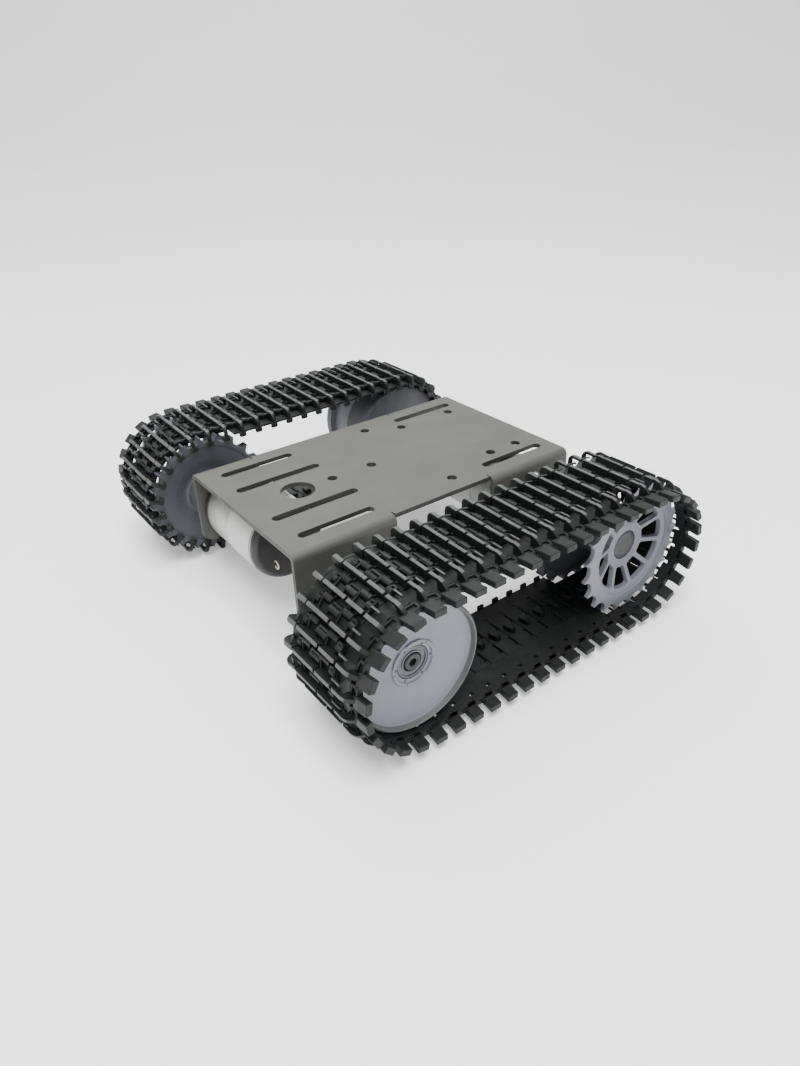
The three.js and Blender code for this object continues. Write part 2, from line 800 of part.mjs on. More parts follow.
// ---------------------------------------------------------------- materials
const finish = (color, roughness, metalness) => ({ color, roughness, metalness });
const DECK_PAINT = finish(0x82827a, 0.45, 0.4);
const TRACK_PLASTIC = finish(0x2e3231, 0.6, 0);
const WHEEL_PLASTIC = finish(0xa0a3ac, 0.5, 0);
const STEEL = finish(0xb8b8b8, 0.3, 0.9);
const BRASS = finish(0xc9a24a, 0.35, 0.9);
const BLACK_PLASTIC = finish(0x161616, 0.5, 0);
const PAPER = finish(0xe8e8e4, 0.8, 0);
const DARK_STEEL = finish(0x3c3c3e, 0.45, 0.8);
const COPPER = finish(0x9a5a34, 0.4, 0.7);

function piece(name, solid, look) {
  const mesh = new THREE.Mesh(toGeometry(solid), new THREE.MeshStandardMaterial(look));
  mesh.name = name;
  return mesh;
}

// ---------------------------------------------------------------- assembly
const group = new THREE.Group();
group.add(piece("chassis_plate", deckSolid(), DECK_PAINT));

// Each side's pieces are made for an outward +Y; the right side is turned round.
function station(x, side) {
  const place = new THREE.Group();
  place.position.set(x, 0, AXLE_Z);
  place.rotation.z = side > 0 ? 0 : Math.PI;
  group.add(place);
  return place;
}

const outerBearing = IDLER.webFace - IDLER.recess - IDLER.bearingWidth + GAP;
const innerBearing = IDLER.inner + 1;

for (const [name, side] of [["left", 1], ["right", -1]]) {
  const track = station(0, side);
  track.add(piece(name + "_track", trackSolid(), TRACK_PLASTIC));

  const drive = station(-side * AXLE_X, side);
  const add = (part, solid, look) => drive.add(piece(name + "_" + part, solid, look));
  add("sprocket_outer", sprocketOuterSolid(), WHEEL_PLASTIC);
  add("sprocket_inner", sprocketInnerSolid(), WHEEL_PLASTIC);
  add("hub_cap", hubCapSolid(), WHEEL_PLASTIC);
  add("wheel_screw", wheelScrewSolid(), STEEL);
  add("coupling", couplingSolid(), BRASS);
  add("set_screw", setScrewSolid(), DARK_STEEL);
  add("output_shaft", outputShaftSolid(), STEEL);
  add("output_gear", outputGearSolid(), BRASS);
  add("lay_gear", layGearSolid(), BRASS);
  add("pinion", pinionSolid(), BRASS);
  add("armature", armatureSolid(), COPPER);
  add("motor_can", motorCanSolid(), STEEL);
  add("motor_label", motorLabelSolid(), PAPER);
  add("motor_end_cap", motorEndCapSolid(), BLACK_PLASTIC);
  add("terminal_a", terminalSolid(1), BRASS);
  add("terminal_b", terminalSolid(-1), BRASS);
  add("gearbox_shell", gearboxShellSolid(), STEEL);
  add("gearbox_face", motorFaceSolid(), DARK_STEEL);
  add("output_bush", bushSolid(), BRASS);
  add("mount_screw_a", mountScrewSolid(MOUNT_SCREW_ANGLES.a), STEEL);
  add("mount_screw_b", mountScrewSolid(MOUNT_SCREW_ANGLES.b), STEEL);

  const idler = station(side * AXLE_X, side);
  const put = (part, solid, look) => idler.add(piece(name + "_" + part, solid, look));
  put("idler_outer", idlerOuterSolid(), WHEEL_PLASTIC);
  put("idler_inner", idlerInnerSolid(), WHEEL_PLASTIC);
  put("bearing_outer", bearingSolid(outerBearing), STEEL);
  put("bearing_inner", bearingSolid(innerBearing), STEEL);
  put("axle_bolt", axleBoltSolid(outerBearing + IDLER.bearingWidth + GAP), DARK_STEEL);
  put("axle_spacer", spacerSolid(innerBearing - GAP), STEEL);
  put("lock_nut", lockNutSolid(), STEEL);
}

export default group;
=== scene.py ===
# Looks of the tracked tank chassis: folded deck, gear motors, sprockets, idlers, tracks.
# Lengths are written in millimetres and turned into metres where a mesh is made.
import json
import math

import bmesh
import bpy
from mathutils import Matrix, Vector


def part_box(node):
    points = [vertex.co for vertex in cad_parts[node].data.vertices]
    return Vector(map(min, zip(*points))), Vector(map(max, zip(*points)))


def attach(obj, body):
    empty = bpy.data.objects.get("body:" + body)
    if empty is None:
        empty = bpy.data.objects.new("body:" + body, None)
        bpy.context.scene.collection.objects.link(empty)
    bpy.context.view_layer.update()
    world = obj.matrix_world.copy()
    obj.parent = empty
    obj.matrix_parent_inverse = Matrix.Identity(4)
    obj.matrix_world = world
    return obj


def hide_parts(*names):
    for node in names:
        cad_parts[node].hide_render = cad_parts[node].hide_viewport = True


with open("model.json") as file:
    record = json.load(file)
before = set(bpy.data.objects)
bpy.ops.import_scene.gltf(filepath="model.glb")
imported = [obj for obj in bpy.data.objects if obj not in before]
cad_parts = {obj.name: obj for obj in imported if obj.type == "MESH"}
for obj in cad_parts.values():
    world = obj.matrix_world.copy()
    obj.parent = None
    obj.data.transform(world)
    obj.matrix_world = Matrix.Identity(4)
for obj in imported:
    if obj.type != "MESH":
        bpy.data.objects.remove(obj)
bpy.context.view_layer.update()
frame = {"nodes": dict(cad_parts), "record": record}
MM = 0.001
SIDES = {"left": 1, "right": -1}


# ------------------------------------------------------------------ places from the frame
def span(node):
    low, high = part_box(node)
    return [v / MM for v in low], [v / MM for v in high]


def middle(node):
    low, high = span(node)
    return [(a + b) / 2 for a, b in zip(low, high)]


AXLE = abs(middle("left_hub_cap")[0])
HEIGHT = middle("left_hub_cap")[2]
DECK_LOW, DECK_HIGH = span("chassis_plate")
TOP = DECK_HIGH[2]
HALF = DECK_HIGH[0]
FACE = DECK_HIGH[1]
TRACK_LOW, TRACK_HIGH = span("left_track")
WHEEL_LOW, WHEEL_HIGH = span("left_sprocket_outer")
INNER_HIGH = span("left_sprocket_inner")[1]
IDLER_LOW, IDLER_HIGH = span("left_idler_outer")
IDLER_IN_LOW, IDLER_IN_HIGH = span("left_idler_inner")
CAN_LOW, CAN_HIGH = span("left_motor_can")
MOTOR_X, _, MOTOR_Z = middle("left_motor_can")
TEETH = 21
LINKS = 48
PITCH = 4 * AXLE / (LINKS - TEETH)
PITCH_RADIUS = TEETH * PITCH / (2 * math.pi)
# the turn of the first tooth about the sprocket's axle
PHASE = math.radians(6.8)
# tooth shape, and how far out from the axle a tooth reaches when it passes the track
TOOTH_ROOT, TOOTH_TIP = 25.4, 28.38
CHANNEL = 29.47
# the hole for the rotor's shaft through the motor's two ends
ROTOR_HOLE = 1.2


# ------------------------------------------------------------------ materials
def new_material(name):
    m = bpy.data.materials.new(name)
    m.use_nodes = True
    nodes = m.node_tree.nodes
    nodes.clear()
    out = nodes.new("ShaderNodeOutputMaterial")
    shader = nodes.new("ShaderNodeBsdfPrincipled")
    m.node_tree.links.new(shader.outputs[0], out.inputs[0])
    return m, shader


def noise(m, scale, detail=4, stretch=(1, 1, 1), roughness=0.5):
    nodes, links = m.node_tree.nodes, m.node_tree.links
    coords = nodes.new("ShaderNodeTexCoord")
    mapping = nodes.new("ShaderNodeMapping")
    mapping.inputs["Scale"].default_value = stretch
    links.new(coords.outputs["Object"], mapping.inputs["Vector"])
    tex = nodes.new("ShaderNodeTexNoise")
    tex.inputs["Scale"].default_value = scale
    tex.inputs["Detail"].default_value = detail
    tex.inputs["Roughness"].default_value = roughness
    links.new(mapping.outputs[0], tex.inputs["Vector"])
    return tex


def ramp(m, source, stops):
    node = m.node_tree.nodes.new("ShaderNodeValToRGB")
    elements = node.color_ramp.elements
    while len(elements) < len(stops):
        elements.new(0.5)
    for element, (at, colour) in zip(elements, stops):
        element.position = at
        element.color = (*colour, 1)
    m.node_tree.links.new(source, node.inputs[0])
    return node


def spread(m, source, low, high, start=0.3, end=0.7):
    node = m.node_tree.nodes.new("ShaderNodeMapRange")
    node.inputs["From Min"].default_value = start
    node.inputs["From Max"].default_value = end
    node.inputs["To Min"].default_value = low
    node.inputs["To Max"].default_value = high
    m.node_tree.links.new(source, node.inputs["Value"])
    return node


def bumped(m, shader, tex, strength, distance):
    node = m.node_tree.nodes.new("ShaderNodeBump")
    node.inputs["Strength"].default_value = strength
    node.inputs["Distance"].default_value = distance * MM
    m.node_tree.links.new(tex.outputs[0], node.inputs["Height"])
    m.node_tree.links.new(node.outputs[0], shader.inputs["Normal"])


def shade(colour, factor):
    return tuple(min(1.0, c * factor) for c in colour)


def surface(name, colour, rough, metallic=0.0, vary=0.12, blotch=60, grain=900, bump=0.25,
            depth=0.05, stretch=(1, 1, 1), spots=None, specular=0.5):
    """Blotchy colour, uneven roughness and a fine grain; spots adds a sparse second colour."""
    m, shader = new_material(name)
    links = m.node_tree.links
    shader.inputs["Metallic"].default_value = metallic
    shader.inputs["Specular IOR Level"].default_value = specular
    cloud = noise(m, blotch, 5, stretch)
    tint = ramp(m, cloud.outputs[0], [
        (0.25, shade(colour, 1 - vary)), (0.5, colour), (0.78, shade(colour, 1 + vary))])
    colour_out = tint.outputs[0]
    if spots:
        speck = noise(m, spots[1], 3, (1, 1, 1), 0.6)
        mask = spread(m, speck.outputs[0], 0, spots[2], 0.6, 0.7)
        mix = m.node_tree.nodes.new("ShaderNodeMix")
        mix.data_type = "RGBA"
        for socket in mix.inputs:
            if socket.identifier == "B_Color":
                socket.default_value = (*spots[0], 1)
            if socket.identifier == "A_Color":
                links.new(colour_out, socket)
            if socket.identifier == "Factor_Float":
                links.new(mask.outputs[0], socket)
        colour_out = [o for o in mix.outputs if o.identifier == "Result_Color"][0]
    links.new(colour_out, shader.inputs["Base Color"])
    smear = noise(m, blotch * 2.3, 6, stretch)
    rough_map = spread(m, smear.outputs[0], max(0.03, rough - 0.08), min(1, rough + 0.1))
    links.new(rough_map.outputs[0], shader.inputs["Roughness"])
    fine = noise(m, grain, 3, stretch)
    bumped(m, shader, fine, bump, depth)
    return m


PAINT = surface("deck_paint", (0.060, 0.060, 0.053), 0.42, vary=0.06, blotch=26, grain=1500,
                bump=0.25, depth=0.03, specular=0.42,
                spots=((0.040, 0.040, 0.036), 1300, 0.35))
EDGE = surface("deck_cut_edge", (0.026, 0.026, 0.024), 0.55, vary=0.2, blotch=90, grain=1500,
               bump=0.3, depth=0.03, spots=((0.05, 0.05, 0.047), 900, 0.4))
TRACK = surface("track_plastic", (0.0060, 0.0082, 0.0074), 0.52, vary=0.25, blotch=120, grain=1100,
                bump=0.3, depth=0.05, specular=0.3,
                spots=((0.016, 0.020, 0.018), 500, 0.5))
# a painted highlight: the lighter colour given to the tops of the track's fins
FIN_TOP_HIGHLIGHT = surface("track_fin_top_highlight", (0.060, 0.069, 0.064), 0.6, vary=0.28, blotch=170, grain=1300,
               bump=0.35, depth=0.05, spots=((0.025, 0.029, 0.028), 420, 0.6))
WHEEL = surface("wheel_plastic", (0.190, 0.202, 0.238), 0.5, vary=0.05, blotch=45, grain=1200,
                bump=0.2, depth=0.04, spots=((0.145, 0.154, 0.182), 700, 0.4))
# a painted shade: a darker copy of the wheel plastic for the wheel halves nearest the deck, which
# lie in shadow
SHADED = surface("wheel_plastic_painted_shade", (0.052, 0.056, 0.067), 0.55, vary=0.08, blotch=45,
                 grain=1200, bump=0.2, depth=0.04, spots=((0.038, 0.041, 0.05), 700, 0.4))
# a painted shade: the idler's lip and rim wall coloured darker than its web, as they face away
# from the light
WALL_SHADE = surface("wheel_plastic_wall_painted_shade", (0.098, 0.102, 0.106), 0.5, vary=0.1, blotch=45, grain=1200,
               bump=0.2, depth=0.04, spots=((0.07, 0.073, 0.078), 700, 0.4))
RACE = surface("bearing_race", (0.10, 0.105, 0.12), 0.36, metallic=0.5, vary=0.15, blotch=200,
               grain=2000, bump=0.2, depth=0.02)
CAP = surface("cap_plastic", (0.045, 0.047, 0.054), 0.5, vary=0.12, blotch=140, grain=1400,
              bump=0.3, depth=0.04, spots=((0.08, 0.083, 0.094), 900, 0.4))
STEEL = surface("screw_steel", (0.56, 0.56, 0.57), 0.34, metallic=1.0, vary=0.12, blotch=220,
                grain=2200, bump=0.2, depth=0.02)
DARK = surface("dark_steel", (0.045, 0.046, 0.05), 0.38, metallic=0.6, vary=0.2, blotch=160,
               grain=1500, bump=0.2, depth=0.03)
CAN = surface("can_steel", (0.38, 0.38, 0.37), 0.38, metallic=0.9, vary=0.08, blotch=60,
              grain=900, bump=0.15, depth=0.02, stretch=(1, 5, 1))
BRASS = surface("brass", (0.74, 0.61, 0.36), 0.33, metallic=1.0, vary=0.14, blotch=190,
                grain=1800, bump=0.2, depth=0.02)
TAG = surface("solder_tag", (0.74, 0.68, 0.46), 0.35, metallic=0.35, vary=0.12, blotch=190,
              grain=1800, bump=0.2, depth=0.02)
COPPER = surface("armature_copper", (0.42, 0.18, 0.09), 0.4, metallic=0.7, vary=0.2, blotch=240,
                 grain=1500, bump=0.3, depth=0.05, stretch=(1, 6, 1))
LABEL = surface("label_paper", (0.50, 0.50, 0.49), 0.4, vary=0.04, blotch=60, grain=1400,
                bump=0.15, depth=0.02, spots=((0.42, 0.42, 0.41), 500, 0.3))
BLACK = surface("black_plastic", (0.014, 0.0145, 0.015), 0.42, vary=0.2, blotch=110, grain=1300,
                bump=0.25, depth=0.03, spots=((0.03, 0.031, 0.032), 800, 0.4))
FINISH = {
    "deck_paint": PAINT, "track_plastic": TRACK, "wheel_plastic": WHEEL, "cap_plastic": CAP,
    "screw_steel": STEEL, "dark_steel": DARK, "can_steel": CAN, "brass": BRASS,
    "armature_copper": COPPER, "label_paper": LABEL, "black_plastic": BLACK,
}


# ------------------------------------------------------------------ mesh building
def make(name, mesh_data, materials, side=1, sharp=32):
    """One piece from (points in mm, faces, material indices); side -1 turns it half round."""
    points, faces, slots = mesh_data
    mesh = bpy.data.meshes.new(name)
    mesh.from_pydata([(side * x * MM, side * y * MM, z * MM) for x, y, z in points], [], faces)
    for material in materials:
        mesh.materials.append(material)
    mesh.polygons.foreach_set("material_index", slots)
    mesh.update()
    mesh.shade_smooth()
    mesh.set_sharp_from_angle(angle=math.radians(sharp))
    piece = bpy.data.objects.new(name, mesh)
    bpy.context.scene.collection.objects.link(piece)
    return piece


def fit_out(piece, body, slot, *nodes):
    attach(piece, body)
    if nodes:
        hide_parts(*nodes)
    return piece


def merge(parts):
    points, faces, slots = [], [], []
    for p, f, s in parts:
        start = len(points)
        points.extend(p)
        faces.extend([tuple(i + start for i in face) for face in f])
        slots.extend(s)
    return points, faces, slots


def moved(part, dx=0.0, dy=0.0, dz=0.0):
    points, faces, slots = part
    return [(x + dx, y + dy, z + dz) for x, y, z in points], faces, slots


def evened(piece):
    """Keeps broad flats evenly shaded beside their rounded edges."""
    level = piece.modifiers.new("level", "WEIGHTED_NORMAL")
    level.keep_sharp = True
    return piece


def from_bmesh(bm):
    """(points, faces, material indices) of a bmesh, all in the first material."""
    bm.verts.index_update()
    points = [tuple(v.co) for v in bm.verts]
    faces = [tuple(v.index for v in f.verts) for f in bm.faces]
    bm.free()
    return points, faces, [0] * len(faces)


def prism(outline, low, high, order, bevel=0.0, segments=1):
    """outline holds 2-D points; order names their two axes and the extruded one, as in 'xzy'."""
    bm = bmesh.new()
    place = ["xyz".index(c) for c in order]

    def corner(u, v, w):
        co = [0.0, 0.0, 0.0]
        co[place[0]], co[place[1]], co[place[2]] = u, v, w
        return co

    bottom = [bm.verts.new(corner(u, v, low)) for u, v in outline]
    top = [bm.verts.new(corner(u, v, high)) for u, v in outline]
    bm.faces.new(bottom)
    bm.faces.new(top)
    n = len(outline)
    for i in range(n):
        bm.faces.new((bottom[i], bottom[(i + 1) % n], top[(i + 1) % n], top[i]))
    bmesh.ops.recalc_face_normals(bm, faces=bm.faces)
    if bevel:
        edges = [e for e in bm.edges if e.calc_face_angle(0) > math.radians(28)]
        bmesh.ops.bevel(bm, geom=edges, offset=bevel, segments=segments, affect="EDGES",
                        clamp_overlap=True, profile=0.5)
    return from_bmesh(bm)


def lathe(profile, x=0.0, z=0.0, segments=96, closed=True):
    """profile holds (radius, y) points in order; turned about the Y axis through (x, z).
    closed False leaves the two ends unjoined, for a profile that starts and ends on the axis."""
    bm = bmesh.new()
    rings = []
    for r, y in profile:
        if r < 1e-6:
            rings.append([bm.verts.new((x, y, z))])
            continue
        ring = []
        for i in range(segments):
            a = 2 * math.pi * i / segments
            ring.append(bm.verts.new((x + r * math.cos(a), y, z + r * math.sin(a))))
        rings.append(ring)
    count = len(rings) if closed else len(rings) - 1
    for k in range(count):
        a, b = rings[k], rings[(k + 1) % len(rings)]
        if len(a) == 1 and len(b) == 1:
            continue
        for i in range(segments):
            j = (i + 1) % segments
            if len(a) == 1:
                bm.faces.new((a[0], b[j], b[i]))
            elif len(b) == 1:
                bm.faces.new((a[i], a[j], b[0]))
            else:
                bm.faces.new((a[i], a[j], b[j], b[i]))
    bmesh.ops.recalc_face_normals(bm, faces=bm.faces)
    return from_bmesh(bm)


def arc(cx, cy, r, start, end, steps):
    turn = [math.radians(start + (end - start) * i / steps) for i in range(steps + 1)]
    return [(cx + r * math.cos(a), cy + r * math.sin(a)) for a in turn]


def ring_of(r, steps, cx=0.0, cy=0.0):
    return arc(cx, cy, r, 0, 360 * (1 - 1 / steps), steps - 1)


def rounded(profile, radius=0.35):
    """The closed (r, y) profile with its corners rounded by three points each."""
    out, n = [], len(profile)
    for i in range(n):
        p, a, b = profile[i], profile[i - 1], profile[(i + 1) % n]
        va, vb = Vector(a) - Vector(p), Vector(b) - Vector(p)
        if p[0] < 1e-6 or va.length < 1e-6 or vb.length < 1e-6:
            out.append(p)
            continue
        r = min(radius, va.length * 0.45, vb.length * 0.45)
        s, e = Vector(p) + va.normalized() * r, Vector(p) + vb.normalized() * r
        mid = (s + e) / 4 + Vector(p) / 2
        out += [tuple(s), tuple(mid), tuple(e)]
    return out


def plate_from(outlines, thick, bevel):
    """A flat plate from z = 0 to thick. Its outlines lie in XY: the outer one, then the holes."""
    curve = bpy.data.curves.new("outline", "CURVE")
    curve.dimensions = "2D"
    curve.fill_mode = "BOTH"
    for points in outlines:
        spline = curve.splines.new("POLY")
        spline.points.add(len(points) - 1)
        for slot, (u, v) in zip(spline.points, points):
            slot.co = (u, v, 0, 1)
        spline.use_cyclic_u = True
    curve.extrude = thick / 2 - bevel
    curve.bevel_depth = bevel
    curve.bevel_resolution = 1
    curve.offset = -bevel
    holder = bpy.data.objects.new("outline", curve)
    bpy.context.scene.collection.objects.link(holder)
    bpy.context.view_layer.update()
    mesh = bpy.data.meshes.new_from_object(holder)
    bm = bmesh.new()
    bm.from_mesh(mesh)
    bpy.data.objects.remove(holder)
    bpy.data.curves.remove(curve)
    bpy.data.meshes.remove(mesh)
    bmesh.ops.remove_doubles(bm, verts=bm.verts, dist=1e-4)
    bmesh.ops.recalc_face_normals(bm, faces=bm.faces)
    points, faces, slots = from_bmesh(bm)
    return [(u, v, w + thick / 2) for u, v, w in points], faces, slots


def standing(part, y0):
    """A plate drawn in (x, z) and thick along its third axis, stood up with its back at y0."""
    points, faces, slots = part
    return [(u, y0 + w, v) for u, v, w in points], [tuple(reversed(f)) for f in faces], slots


# ------------------------------------------------------------------ deck
BEND, THICK = 3.0, 2.0
NEUTRAL = BEND - THICK / 2
FLAT = FACE - BEND
BEND_LENGTH = NEUTRAL * math.pi / 2
# steps that each bend is cut into
BEND_STEPS = 8
# each flange: the long edge it hangs from (sign of Y), and where it starts and ends along X
FLANGES = [(1, -HALF, -43.2), (1, 32.6, HALF), (-1, -HALF, -24.1), (-1, 25.8, HALF)]
# relief cut between a flange and the deck's own edge, and the flanges' rounded corners
RELIEF_WIDTH, RELIEF_DEPTH = 0.45, 2.2
FLANGE_CORNER = 5.0
# slots lie in pairs either side of the centre line: distance from it, then from X and to X
SLOT_WIDTH = 3.8
SLOTS = [(31.9, -61.2, -27.2), (14.9, -62.6, -23.4), (31.8, 30.2, 64.0)]
CABLE_HOLE_X, CABLE_HOLE = -42.5, 7.1
SMALL_HOLE = 2.1
SMALL_HOLES = [(-25.8, 0), (-5.8, 0), (12.8, 31.8), (12.8, -31.8), (28.6, 24.1), (57.4, 24.2),
               (41.9, -23.7), (56.9, -23.7)]
# holes in the flanges for the output bush, the two mounting screws and the idler's axle
BUSH_HOLE, SCREW_HOLE, AXLE_HOLE = 6.2, 1.6, 2.15


def drop_to(z):
    """Distance from the centre line, on the flat pattern, of height z on a flange."""
    return FLAT + BEND_LENGTH + (TOP - BEND - z)


def stadium(x0, x1, y, width):
    r = width / 2
    return arc(x1 - r, y, r, -90, 90, 8) + arc(x0 + r, y, r, 90, 270, 8)


def deck_edge(side):
    """One long edge of the flat pattern from -X to +X, with its two flange tabs."""
    points, edge, r = [], FACE - THICK, FLANGE_CORNER
    low = drop_to(DECK_LOW[2])
    notch = edge - RELIEF_DEPTH
    for where, start, end in FLANGES:
        if where != side:
            continue
        if start > -HALF + 1:
            before = start - RELIEF_WIDTH
            points += [(before, edge), (before, notch), (start, notch)]
        points += arc(start + r, low - r, r, 180, 90, 6)
        points += arc(end - r, low - r, r, 90, 0, 6)
        if end < HALF - 1:
            after = end + RELIEF_WIDTH
            points += [(end, notch), (after, notch), (after, edge)]
    return [(x, side * y) for x, y in points]


def deck_holes():
    """Every opening of the flat pattern."""
    holes = []
    for y, x0, x1 in SLOTS:
        holes += [stadium(x0, x1, y, SLOT_WIDTH), stadium(x0, x1, -y, SLOT_WIDTH)]
    holes.append(ring_of(CABLE_HOLE, 40, CABLE_HOLE_X, 0))
    for x, y in SMALL_HOLES:
        holes.append(ring_of(SMALL_HOLE, 20, x, y))
    bush = middle("left_output_bush")
    for side in (1, -1):
        holes.append(ring_of(BUSH_HOLE, 32, side * bush[0], side * drop_to(bush[2])))
        for screw in ("left_mount_screw_a", "left_mount_screw_b"):
            x, _, z = middle(screw)
            holes.append(ring_of(SCREW_HOLE, 16, side * x, side * drop_to(z)))
        holes.append(ring_of(AXLE_HOLE, 20, side * AXLE, side * drop_to(HEIGHT)))
    return holes


def deck():
    """The deck cut out flat, then folded: flanges down along both long edges."""
    outer = deck_edge(1) + list(reversed(deck_edge(-1)))
    points, faces, _ = plate_from([outer] + deck_holes(), THICK, 0.22)
    bm = bmesh.new()
    verts = [bm.verts.new(p) for p in points]
    for f in faces:
        if len(set(f)) > 2:
            bm.faces.new([verts[i] for i in f])
    bm.normal_update()
    # the cut walls take the second material
    for f in bm.faces:
        f.material_index = 1 if abs(f.normal.z) < 0.5 else 0
    for side in (1, -1):
        for i in range(BEND_STEPS + 1):
            at = side * (FLAT + BEND_LENGTH * i / BEND_STEPS)
            geometry = list(bm.verts) + list(bm.edges) + list(bm.faces)
            bmesh.ops.bisect_plane(bm, geom=geometry, dist=1e-5, plane_co=(0, at, 0),
                                   plane_no=(0, 1, 0))
    for v in bm.verts:
        x, u, w = v.co
        side = 1 if u > 0 else -1
        over = abs(u) - FLAT
        on_tab = any(side == where and start - 0.2 < x < end + 0.2
                     for where, start, end in FLANGES)
        height = TOP - THICK + w
        if over > 0 and on_tab:
            turn = min(over / NEUTRAL, math.pi / 2)
            r = BEND - THICK + w
            y = FLAT + r * math.sin(turn)
            z = TOP - BEND + r * math.cos(turn)
            if over > BEND_LENGTH:
                z -= over - BEND_LENGTH
            v.co = (x, side * y, z)
        else:
            v.co = (x, u, height)
    bmesh.ops.recalc_face_normals(bm, faces=bm.faces)
    walls = [f.material_index for f in bm.faces]
    points, faces, _ = from_bmesh(bm)
    piece = make("deck_sheet", (points, faces, walls), [PAINT, EDGE], sharp=25)
    fit_out(evened(piece), "chassis", "deck_paint", "chassis_plate")


# ------------------------------------------------------------------ wheels
# the sprocket's outer wheel: windows between spokes, and how its web slopes out to the rim
SPOKES, SPOKE_WIDTH, SPOKE_PHASE = 10, 2.0, math.radians(8)
WINDOW_INNER, WINDOW_OUTER = 10.3, 18.6
CONE_START, CONE_RISE = 9.8, 2.9
# the idler: its rim, the radius its lip starts at, and the ring of small screws
IDLER_RIM, IDLER_LIP, IDLER_SCREW_RING = 24.78, 23.1, 7.3
# how deep the idler's web lies behind its edge, at the hub and near the lip
WEB_DEPTH, WEB_SHALLOW = 4.6, 2.4
# how far the outer race of the idler's bearing stands in front of the inner one
RACE_STEP = 1.9


def toothed(phase, root=TOOTH_ROOT, tip=TOOTH_TIP):
    """Outline of a ring of teeth with hollow flanks."""
    points = []
    step = 2 * math.pi / TEETH
    heights = (0.0, 0.1, 0.25, 0.45, 0.65, 0.85, 0.96, 1.0)
    for i in range(TEETH):
        centre = phase + i * step
        flank = []
        for h in heights:
            half = 1.95 * (1 - h) ** 1.6 + 0.42 * h + (0.5 * (1 - h / 0.1) if h < 0.1 else 0)
            if h == 1.0:
                half = 0.28
            r = root + (tip - root) * h
            flank.append((r, half / r))
        for r, a in flank:
            points.append((r * math.cos(centre - a), r * math.sin(centre - a)))
        for r, a in reversed(flank):
            points.append((r * math.cos(centre + a), r * math.sin(centre + a)))
        low = root - 0.35
        a = centre + step / 2
        points.append((low * math.cos(a), low * math.sin(a)))
    return points


def window(index, count, inner, outer, spoke, phase, corner=1.4):
    """A rounded trapezoid between two spokes."""
    middle_turn = phase + (index + 0.5) * 2 * math.pi / count
    step = math.pi / count
    half_in = step - math.asin(spoke / 2 / inner)
    half_out = step - math.asin(spoke / 2 / outer)
    turn_in, turn_out = 0.8 / inner, corner / outer
    shape = []
    for k in range(7):
        a = middle_turn - half_out + turn_out + 2 * (half_out - turn_out) * k / 6
        shape.append((outer * math.cos(a), outer * math.sin(a)))
    edge = [(outer - 0.45, half_out - 0.3 / outer), (outer - 1.4, None), (inner + 0.8, None),
            (inner + 0.2, half_in - 0.25 / inner)]
    for r, a in edge:
        a = a if a is not None else step - math.asin(spoke / 2 / r)
        shape.append((r * math.cos(middle_turn + a), r * math.sin(middle_turn + a)))
    for k in range(4):
        a = middle_turn + half_in - turn_in - 2 * (half_in - turn_in) * k / 3
        shape.append((inner * math.cos(a), inner * math.sin(a)))
    for r, a in reversed(edge):
        a = a if a is not None else step - math.asin(spoke / 2 / r)
        shape.append((r * math.cos(middle_turn - a), r * math.sin(middle_turn - a)))
    return shape


def outer_wheel(side, name):
    """The spoked wheel that faces away from the deck: thin toothed ring, coned web and hub."""
    face = WHEEL_HIGH[1]
    hub_face, hub_back = span("left_hub_cap")[1][1], WHEEL_LOW[1]
    wall, rim = 2.4, 2.0
    tooth_ring = plate_from([toothed(PHASE), ring_of(20.4, 96)], rim, 0.3)
    windows = [window(i, SPOKES, WINDOW_INNER, WINDOW_OUTER, SPOKE_WIDTH, SPOKE_PHASE)
               for i in range(SPOKES)]
    flat_web = plate_from([ring_of(20.6, 96), ring_of(9.0, 96)] + windows, wall, 0.3)
    points, faces, slots = standing(flat_web, hub_face - wall)
    coned = []
    for u, y, v in points:
        beyond = max(0.0, math.hypot(u, v) - CONE_START)
        coned.append((u, y + CONE_RISE * beyond / (WINDOW_OUTER - CONE_START), v))
    web = (coned, faces, slots)
    ledge = lathe(rounded([(19.9, face - 0.9), (21.2, face - 0.15), (21.2, face - 1.9),
                           (19.9, face - 2.4)], 0.3))
    hub = lathe(rounded([(6.3, hub_back), (9.0, hub_back), (9.0, hub_face - 1.0),
                         (9.6, hub_face - 0.5), (9.6, hub_face - 0.05), (6.3, hub_face - 0.05)]))
    parts = [standing(tooth_ring, face - rim), web, ledge, hub]
    return evened(make(name, moved(merge(parts), -AXLE, 0, HEIGHT), [WHEEL], side, 30))


def inner_wheel(side, name):
    """The dished wheel nearest the deck, with its boss on the coupling, in plastic painted darker
    as shade.
    """
    face = span("left_sprocket_inner")[0][1]
    ring_face = INNER_HIGH[1]
    front = TRACK_LOW[1] + 2.2
    teeth = plate_from([toothed(PHASE), ring_of(23.4, 96)], 4.3, 0.3)
    shell = lathe(rounded([
        (7.1, face), (9.2, face), (9.6, face + 0.7), (10.0, front + 2.6), (10.9, front + 3.1),
        (12.6, front + 2.9), (16.5, front + 1.5), (20.0, front + 0.8), (23.0, front + 0.45),
        (24.2, front + 0.6), (24.2, front + 3.6), (15.2, front + 4.1), (9.0, front + 4.2),
        (9.0, ring_face), (7.1, ring_face)], 0.45))
    parts = [standing(teeth, front), shell]
    return evened(make(name, moved(merge(parts), -AXLE, 0, HEIGHT), [SHADED], side, 30))


def hub_cap(side, name):
    low, high = span("left_hub_cap")
    profile = [(0, low[1]), (5.85, low[1]), (5.95, low[1] + 0.3), (5.95, high[1] - 0.35),
               (5.6, high[1] - 0.1), (4.9, high[1] - 0.02), (4.7, high[1] - 0.22),
               (0, high[1] - 0.2)]
    return make(name, lathe(profile, -AXLE, HEIGHT, closed=False), [CAP], side)


